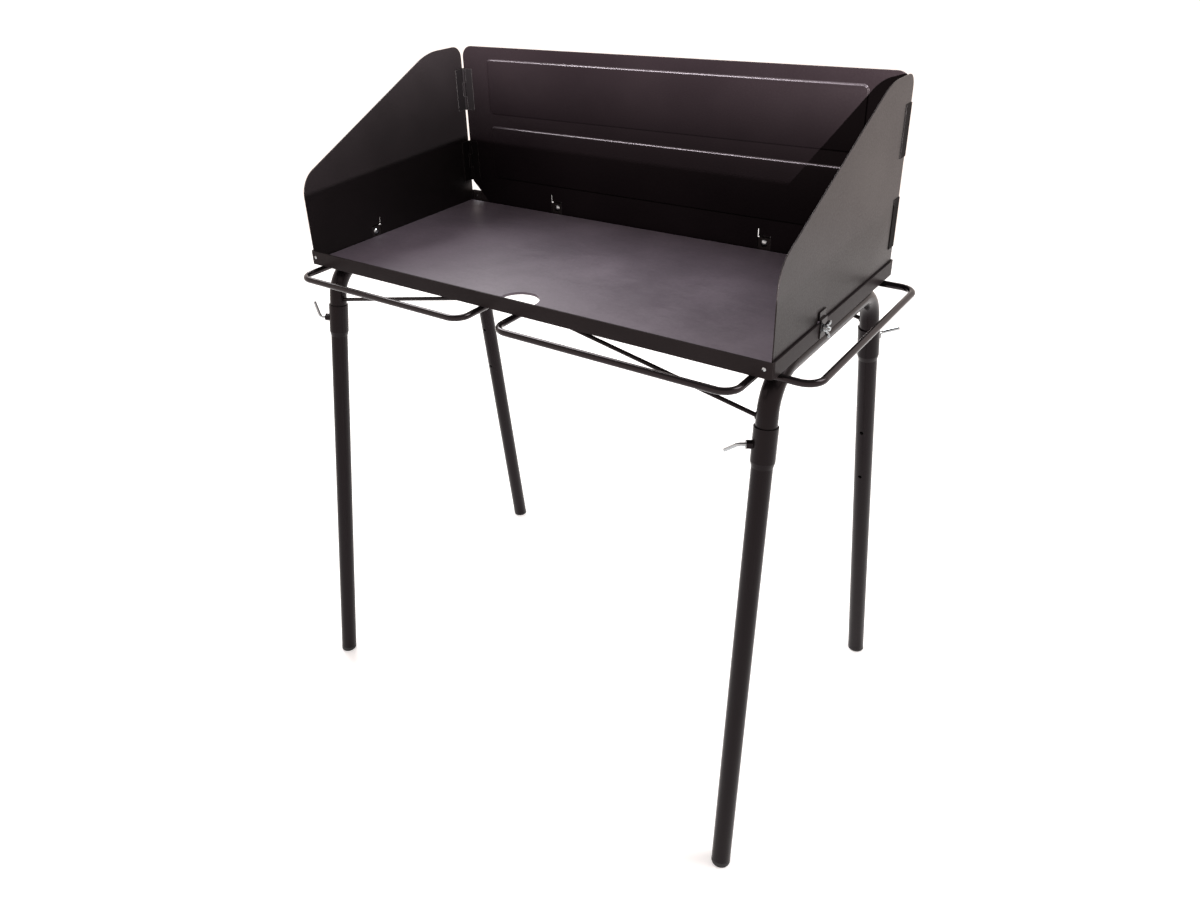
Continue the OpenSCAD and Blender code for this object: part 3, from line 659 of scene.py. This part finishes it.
# A wing's half sizes, its place beside the axis and above the seat, and its tilt in degrees
NUT_WING = (0.0052, 0.0010, 0.0030)
NUT_WING_AT = (0.0078, 0.0056)
NUT_WING_TILT = 35
# The half sizes of the arm that carries it, and how far out that lies, as a share of the wing's place
NUT_ARM = (0.0052, 0.0013, 0.0024)
NUT_ARM_AT = 0.55
# Radius of the bore, heights between which it is drilled, and its sides
NUT_BORE = 0.00305
NUT_DRILL = (-0.01, 0.02)
NUT_DRILL_SIDES = 48
# How finely the boss, arms and wings are run together, and how much that is smoothed
NUT_VOXEL = 0.0003
NUT_SMOOTH = 0.5
NUT_SMOOTH_PASSES = 4
# Share of a nut's reach from which its vertices belong to the tips of its wings
NUT_TIPS = 0.9
# Balls and cones: sides and rings, and the share of a ball's half turn that is cut off flat at each pole
BALL_SIDES = 24
BALL_RINGS = 16
BALL_POLE = 0.02
CONE_SIDES = 40
# Foot caps: sides, the plug's share of the tube's radius and its length, and the bevel below the seam
CAP_SIDES = 48
CAP_PLUG = 0.8
CAP_PLUG_LENGTH = 0.004
CAP_BEVEL = 0.0006
# Radius of a cap's lower edge, and the steps over it
CAP_ROUND = 0.0025
CAP_STEPS = 6


def thread_ring(z, share):
    """A ring of the threaded shank at a height. The crest winds round once per pitch."""
    ring = []
    for k, angle in enumerate(turns(BOLT_SIDES)):
        turn = (z / THREAD_PITCH - k / BOLT_SIDES) % 1.0
        radius = share * (BOLT_RADIUS - THREAD_DEPTH * abs(2 * turn - 1))
        ring.append(Vector((radius * math.cos(angle), radius * math.sin(angle), z)))
    return ring


def carriage_bolt(length):
    """A domed head below z = 0, and above it a shank that is plain at first and then threaded."""
    head_r, head_h = BOLT_HEAD
    ball = (head_r ** 2 + head_h ** 2) / (2 * head_h)
    rings = []
    for k in range(HEAD_RINGS + 1):
        depth = head_h * (1 - (k / HEAD_RINGS) ** 2)
        radius = math.sqrt(max(0.0, ball ** 2 - (ball - head_h + depth) ** 2))
        rings.append(level_circle(max(radius, HEAD_CROWN), -depth, BOLT_SIDES))
    rings.append(level_circle(BOLT_RADIUS, 0.0, BOLT_SIDES))
    rings.append(level_circle(BOLT_RADIUS, BOLT_PLAIN, BOLT_SIDES))
    steps = round((length - BOLT_PLAIN) / THREAD_PITCH * THREAD_RINGS)
    for i in range(1, steps + 1):
        share = min(1.0, TIP_SHARE + (1 - TIP_SHARE) * (steps - i) / TIP_RINGS)
        rings.append(thread_ring(BOLT_PLAIN + (length - BOLT_PLAIN) * i / steps, share))
    return skinned(rings)


def nut_seat(name):
    """The middle of a wing nut's seat and the direction of its axis, out of the table."""
    joint = joints[name + "_wing_nut_turn"]
    return Vector(joint["pos_m"]), Vector(joint["axis"])


def clip_bolts():
    """A threaded bolt for each clip, with its head against the inside of the rail."""
    shapes = []
    for name in NUTS:
        seat, axis = nut_seat(name)
        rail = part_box("rear_rail" if name.startswith("rear") else name + "_rail")
        inside = max(abs(axis.dot(corner)) for corner in rail) - RAIL_GAUGE
        tip = max(axis.dot(v.co) for v in nodes["clip_bolts"].data.vertices)
        verts, faces = carriage_bolt(tip - inside)
        origin = seat + axis * (inside - seat.dot(axis))
        turn = Matrix((*square_to(axis), axis)).transposed()
        shapes.append(([origin + turn @ v for v in verts], faces))
    mesh = mesh_of("threaded_clip_bolts", *join(shapes))
    add_piece("threaded_clip_bolts", mesh, "zinc", "frame", ("clip_bolts",))


def ball_shape(centre, radii, tilt):
    """An ellipsoid, tilted in the XZ plane."""
    turn = Matrix.Rotation(-tilt, 3, "Y")
    rings = []
    for i in range(BALL_RINGS + 1):
        a = math.pi * (BALL_POLE + (1 - 2 * BALL_POLE) * i / BALL_RINGS)
        ring = []
        for b in turns(BALL_SIDES):
            out = (radii[0] * math.sin(a) * math.cos(b), radii[1] * math.sin(a) * math.sin(b))
            ring.append(centre + turn @ Vector((*out, -radii[2] * math.cos(a))))
        rings.append(ring)
    return skinned(rings)


def cone_shape(low_r, high_r, low_z, high_z, sides):
    """A cone or a cylinder round the Z axis."""
    return skinned([level_circle(low_r, low_z, sides), level_circle(high_r, high_z, sides)])


def settled(piece):
    """The piece's mesh with its modifiers applied."""
    bpy.context.view_layer.update()
    evaluated = piece.evaluated_get(bpy.context.evaluated_depsgraph_get())
    return bpy.data.meshes.new_from_object(evaluated)


def cast_wing_nut():
    """A cast wing nut drawn along +Z: a tapered boss and two swelling wings, run together and bored."""
    boss_r, boss_h = NUT_BOSS
    shapes = [cone_shape(boss_r, NUT_TAPER * boss_r, 0, boss_h, CONE_SIDES)]
    for side in (-1, 1):
        centre = Vector((side * NUT_WING_AT[0], 0, NUT_WING_AT[1]))
        tilt = side * math.radians(NUT_WING_TILT)
        shapes.append(ball_shape(centre, NUT_WING, tilt))
        shapes.append(ball_shape(centre * NUT_ARM_AT, NUT_ARM, tilt))
    rough = placed_object("wing_nut_rough", mesh_of("wing_nut_rough", *join(shapes)))
    drilled = cone_shape(NUT_BORE, NUT_BORE, *NUT_DRILL, NUT_DRILL_SIDES)
    drill = placed_object("wing_nut_drill", mesh_of("wing_nut_drill", *drilled))
    remesh = rough.modifiers.new("remesh", "REMESH")
    remesh.mode = "VOXEL"
    remesh.voxel_size = NUT_VOXEL
    smooth = rough.modifiers.new("smooth", "SMOOTH")
    smooth.factor = NUT_SMOOTH
    smooth.iterations = NUT_SMOOTH_PASSES
    bore = rough.modifiers.new("bore", "BOOLEAN")
    bore.operation = "DIFFERENCE"
    bore.object = drill
    mesh = settled(rough)
    for made in (rough, drill):
        bpy.data.objects.remove(made)
    return mesh


def nut_wings(node, seat, axis):
    """The direction from a wing nut's axis to the tip of a wing, square to the axis."""
    out = [v.co - seat - (v.co - seat).dot(axis) * axis for v in nodes[node].data.vertices]
    reach = max(o.length for o in out)
    tips = [o for o in out if o.length > NUT_TIPS * reach]
    return sum((o if o.dot(tips[0]) > 0 else -o for o in tips), Vector()).normalized()


def wing_nuts():
    """A cast wing nut on each clip bolt, with its wings where the CAD nut has them."""
    pattern = cast_wing_nut()
    for name in NUTS:
        body = name + "_wing_nut"
        seat, axis = nut_seat(name)
        wings = nut_wings(body, seat, axis)
        turn = Matrix((wings, axis.cross(wings), axis)).transposed().to_4x4()
        mesh = pattern.copy()
        mesh.transform(Matrix.Translation(seat) @ turn)
        add_piece(name + "_cast_wing_nut", mesh, "zinc", body, (body,))


def cap_shape(leg):
    """A plug in a leg's end, whose lower edge is rounded over, level with the floor."""
    point, down = leg_axis(leg)
    foot = point + down * (-point.z / down.z)
    seam = foot - down * CAP_SEAM
    spokes = circle(Vector(), *square_to(-down), 1.0, CAP_SIDES)

    def square_ring(radius, drop):
        """A ring square to the leg, so far below the seam."""
        return [seam + radius * spoke + drop * down for spoke in spokes]

    def level_ring(radius, z):
        """A level ring at a height above the floor."""
        starts = [foot + radius * spoke for spoke in spokes]
        return [start + down * ((z - start.z) / down.z) for start in starts]

    rings = [
        square_ring(CAP_PLUG * TUBE_RADIUS, -CAP_PLUG_LENGTH), square_ring(CAP_PLUG * TUBE_RADIUS, 0.0),
        square_ring(TUBE_RADIUS - CAP_BEVEL, 0.0), square_ring(TUBE_RADIUS, CAP_BEVEL)]
    for k in range(CAP_STEPS + 1):
        a = math.pi / 2 * k / CAP_STEPS
        inset, z = CAP_ROUND * (1 - math.cos(a)), CAP_ROUND * (1 - math.sin(a))
        rings.append(level_ring(TUBE_RADIUS - inset, z))
    return skinned(rings)


def foot_caps():
    """A rounded cap in the end of each leg."""
    for leg in LEGS:
        name = leg + "_rounded_foot_cap"
        mesh = mesh_of(name, *cap_shape(leg))
        add_piece(name, mesh, "cap_plastic", leg + "_leg", (leg + "_foot_cap",))


dress_nodes()
back_panel()
clip_bolts()
wing_nuts()
foot_caps()
bar_welds()
brace_welds()
frame_welds()


# Stage and light

FLOOR_HALF = 2.6
FLOOR_WHITE = rgb(0.97, 0.97, 0.97)
FLOOR_ROUGHNESS = 0.8
FLOOR_GLOW = 0.33
# Light of the sky near the horizon and overhead, and the heights in degrees where each of them ends
HORIZON = rgb(1.28, 1.13, 1.06)
HORIZON_END = 25
OVERHEAD = rgb(0.25, 0.24, 0.24)
OVERHEAD_END = 60
# Pieces that some lights are kept to
BACK = (bpy.data.objects["embossed_back_panel"],)
LEFT_HINGES = tuple(nodes[n] for n in nodes if n.startswith("left") and n.endswith("hinge_leaves"))
WING = (nodes["left_wing"], *LEFT_HINGES)
REST = tuple(o for o in bpy.context.scene.objects if o.type == "MESH" and o not in BACK)
# Name, place, aim, sides and power of each soft light, and the pieces that it lights, or none for all
SOFT_LIGHTS = (
    ("left_top", (-1.7, 0.9, 2.6), (0, 0, 0.8), (1.3, 1.3), 60, ()),
    ("right_top", (1.7, 0.9, 2.6), (0, 0, 0.8), (1.3, 1.3), 40, ()),
    ("strip", (-1.15, -0.72, 2.7), (-1.15, -0.72, 0), (1.7, 0.15), 120, BACK),
)
# Front lights: spots so wide that their lower edge is almost a plane, below which they light nothing.
# Their width in degrees and the radius of the lamp
CUT_SPREAD = 178
CUT_RADIUS = 0.004
# Place, point on the plan that the light heads for, and rise of its lower edge in degrees
WING_PLACE = ((1.07, -2.0, 0.80), (-0.05, 0.2), 2.3)
BACK_PLACE = ((2.48, -4.2, 1.70), (2.48, 0.2), -10.5)
# Name, place and heading, power, softness of the edge, and the pieces lit
CUT_LIGHTS = (
    ("front_cut", *WING_PLACE, 1000, 0.0, REST),
    ("wing_fade", *WING_PLACE, 4500, 0.121, WING),
    ("back_cut", *BACK_PLACE, 2000, 0.0, BACK),
    ("back_fade", *BACK_PLACE, 30000, 0.059, BACK),
)


def floor():
    """A white floor that glows a little, so that it stays white under the table."""
    signs = ((-1, -1), (1, -1), (1, 1), (-1, 1))
    data = mesh_of("floor", [(x * FLOOR_HALF, y * FLOOR_HALF, 0) for x, y in signs], [(0, 1, 2, 3)])
    ground = placed_object("floor", data)
    shader = Shader("floor_white")
    shader.set(Base_Color=FLOOR_WHITE, Roughness=FLOOR_ROUGHNESS)
    shader.set(Emission_Color=FLOOR_WHITE, Emission_Strength=FLOOR_GLOW)
    data.materials.append(shader.material)


def sky():
    """A warm white wall of light all round, which fades overhead."""
    world = bpy.data.worlds.new("studio")
    world.use_nodes = True
    tree = world.node_tree
    direction = tree.nodes.new("ShaderNodeTexCoord").outputs["Generated"]
    height = tree.nodes.new("ShaderNodeSeparateXYZ")
    ramp = tree.nodes.new("ShaderNodeValToRGB")
    low, high = ramp.color_ramp.elements
    low.position, low.color = math.sin(math.radians(HORIZON_END)), HORIZON
    high.position, high.color = math.sin(math.radians(OVERHEAD_END)), OVERHEAD
    tree.links.new(direction, height.inputs["Vector"])
    tree.links.new(height.outputs["Z"], ramp.inputs["Fac"])
    tree.links.new(ramp.outputs["Color"], tree.nodes["Background"].inputs["Color"])
    bpy.context.scene.world = world


def hang(data, at, direction, pieces):
    """Hangs a lamp that shines in a direction, on these pieces only, or on everything if there are none."""
    lamp = placed_object(data.name, data)
    lamp.location = at
    lamp.rotation_euler = direction.to_track_quat("-Z", "Y").to_euler()
    if pieces:
        lit = bpy.data.collections.new(lamp.name + "_receivers")
        for piece in pieces:
            lit.objects.link(piece)
        lamp.light_linking.receiver_collection = lit


def soft_light(name, at, aim, sides, power, pieces):
    """A rectangle of light."""
    data = bpy.data.lights.new(name, "AREA")
    data.shape = "RECTANGLE"
    data.size, data.size_y = sides
    data.energy = power
    hang(data, at, Vector(aim) - Vector(at), pieces)


def cut_light(name, at, heading, rise, power, softness, pieces):
    """A front light that reaches only what lies above its lower edge."""
    data = bpy.data.lights.new(name, "SPOT")
    data.energy = power
    data.spot_size = math.radians(CUT_SPREAD)
    data.spot_blend = softness
    data.shadow_soft_size = CUT_RADIUS
    ahead = Vector((heading[0] - at[0], heading[1] - at[1], 0)).normalized()
    tilt = math.radians(CUT_SPREAD / 2 + rise)
    hang(data, at, math.cos(tilt) * ahead + math.sin(tilt) * UP, pieces)


def studio():
    """The floor, the sky and the lamps."""
    floor()
    sky()
    for light in SOFT_LIGHTS:
        soft_light(*light)
    for light in CUT_LIGHTS:
        cut_light(*light)
    bpy.context.scene.view_settings.view_transform = "Standard"


# Camera of the photo: image, focal length and centre in pixels, and the place and directions of the view

IMAGE = (1200, 900)
FOCAL = 931.3
CENTRE = (551.87, 404.61)
EYE = Vector((0.79727, -1.11952, 1.28545))
LOOK = Vector((-0.54325, 0.69162, -0.47597))
RIGHT = Vector((0.80096, 0.59688, -0.04688))
# Width of the sensor in millimetres, and the nearest and farthest distance that it sees
SENSOR = 36.0
NEAR, FAR = 0.01, 200


def camera():
    """The camera, where the photo's camera stood."""
    data = bpy.data.cameras.new("camera")
    data.sensor_fit = "HORIZONTAL"
    data.sensor_width = SENSOR
    data.lens = SENSOR * FOCAL / IMAGE[0]
    data.shift_x = (IMAGE[0] / 2 - CENTRE[0]) / IMAGE[0]
    data.shift_y = (CENTRE[1] - IMAGE[1] / 2) / IMAGE[0]
    data.clip_start, data.clip_end = NEAR, FAR
    eye = placed_object("camera", data)
    up = RIGHT.cross(LOOK).normalized()
    turn = Matrix((RIGHT.normalized(), up, -LOOK.normalized())).transposed()
    eye.matrix_world = Matrix.Translation(EYE) @ turn.to_4x4()
    bpy.context.scene.camera = eye


studio()
camera()
